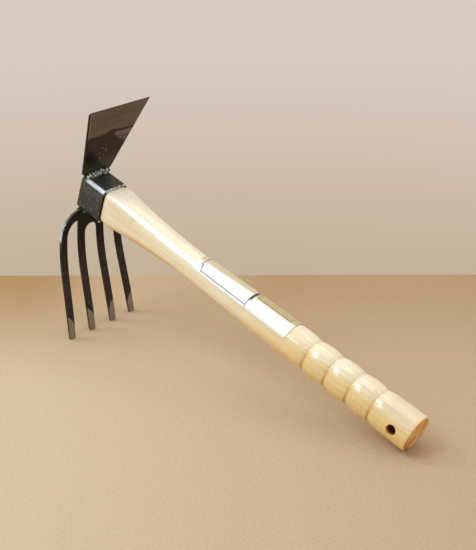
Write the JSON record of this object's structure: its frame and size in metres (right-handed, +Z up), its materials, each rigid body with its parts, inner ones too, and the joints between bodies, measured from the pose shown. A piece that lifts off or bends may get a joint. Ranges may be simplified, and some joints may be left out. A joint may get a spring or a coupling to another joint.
{
  "type": "cuttlefish hoe",
  "caption": "Short two-headed hand hoe: flared digging blade and curved tined fork welded to a square collar on a turned wooden handle with a ringed grip.",
  "frame": {"origin": "on the floor, under the centre of the tool's bounding box, as the tool stands on its tine points and its butt", "axes": "+X from the heads to the butt, level; +Y across the tool; +Z up, from the floor to the blade"},
  "size_m": [0.3704, 0.0856, 0.2257],
  "materials": {
    "handle_wood": "pale fine-grained wood under clear lacquer",
    "wedge_steel": "bare steel with a hammered head",
    "collar_paint": "black paint over rough folded steel, bright where it is worn at the rims",
    "blade_lacquer": "smooth glossy black-brown lacquer",
    "tine_paint": "satin black-brown paint, ground to bare steel at the points",
    "weld_paint": "rippled weld bead, thinly painted",
    "label_film": "thin pale glossy film without lettering"
  },
  "bodies": {
    "root": {"handle": "handle_wood", "tenon_wedge": "wedge_steel", "socket": "collar_paint", "hoe_blade": "blade_lacquer", "fork": "tine_paint", "blade_weld_rear": "weld_paint", "blade_weld_front": "weld_paint", "fork_weld_rear": "weld_paint", "fork_weld_front": "weld_paint", "handle_label": "label_film"}
  },
  "joints": []
}
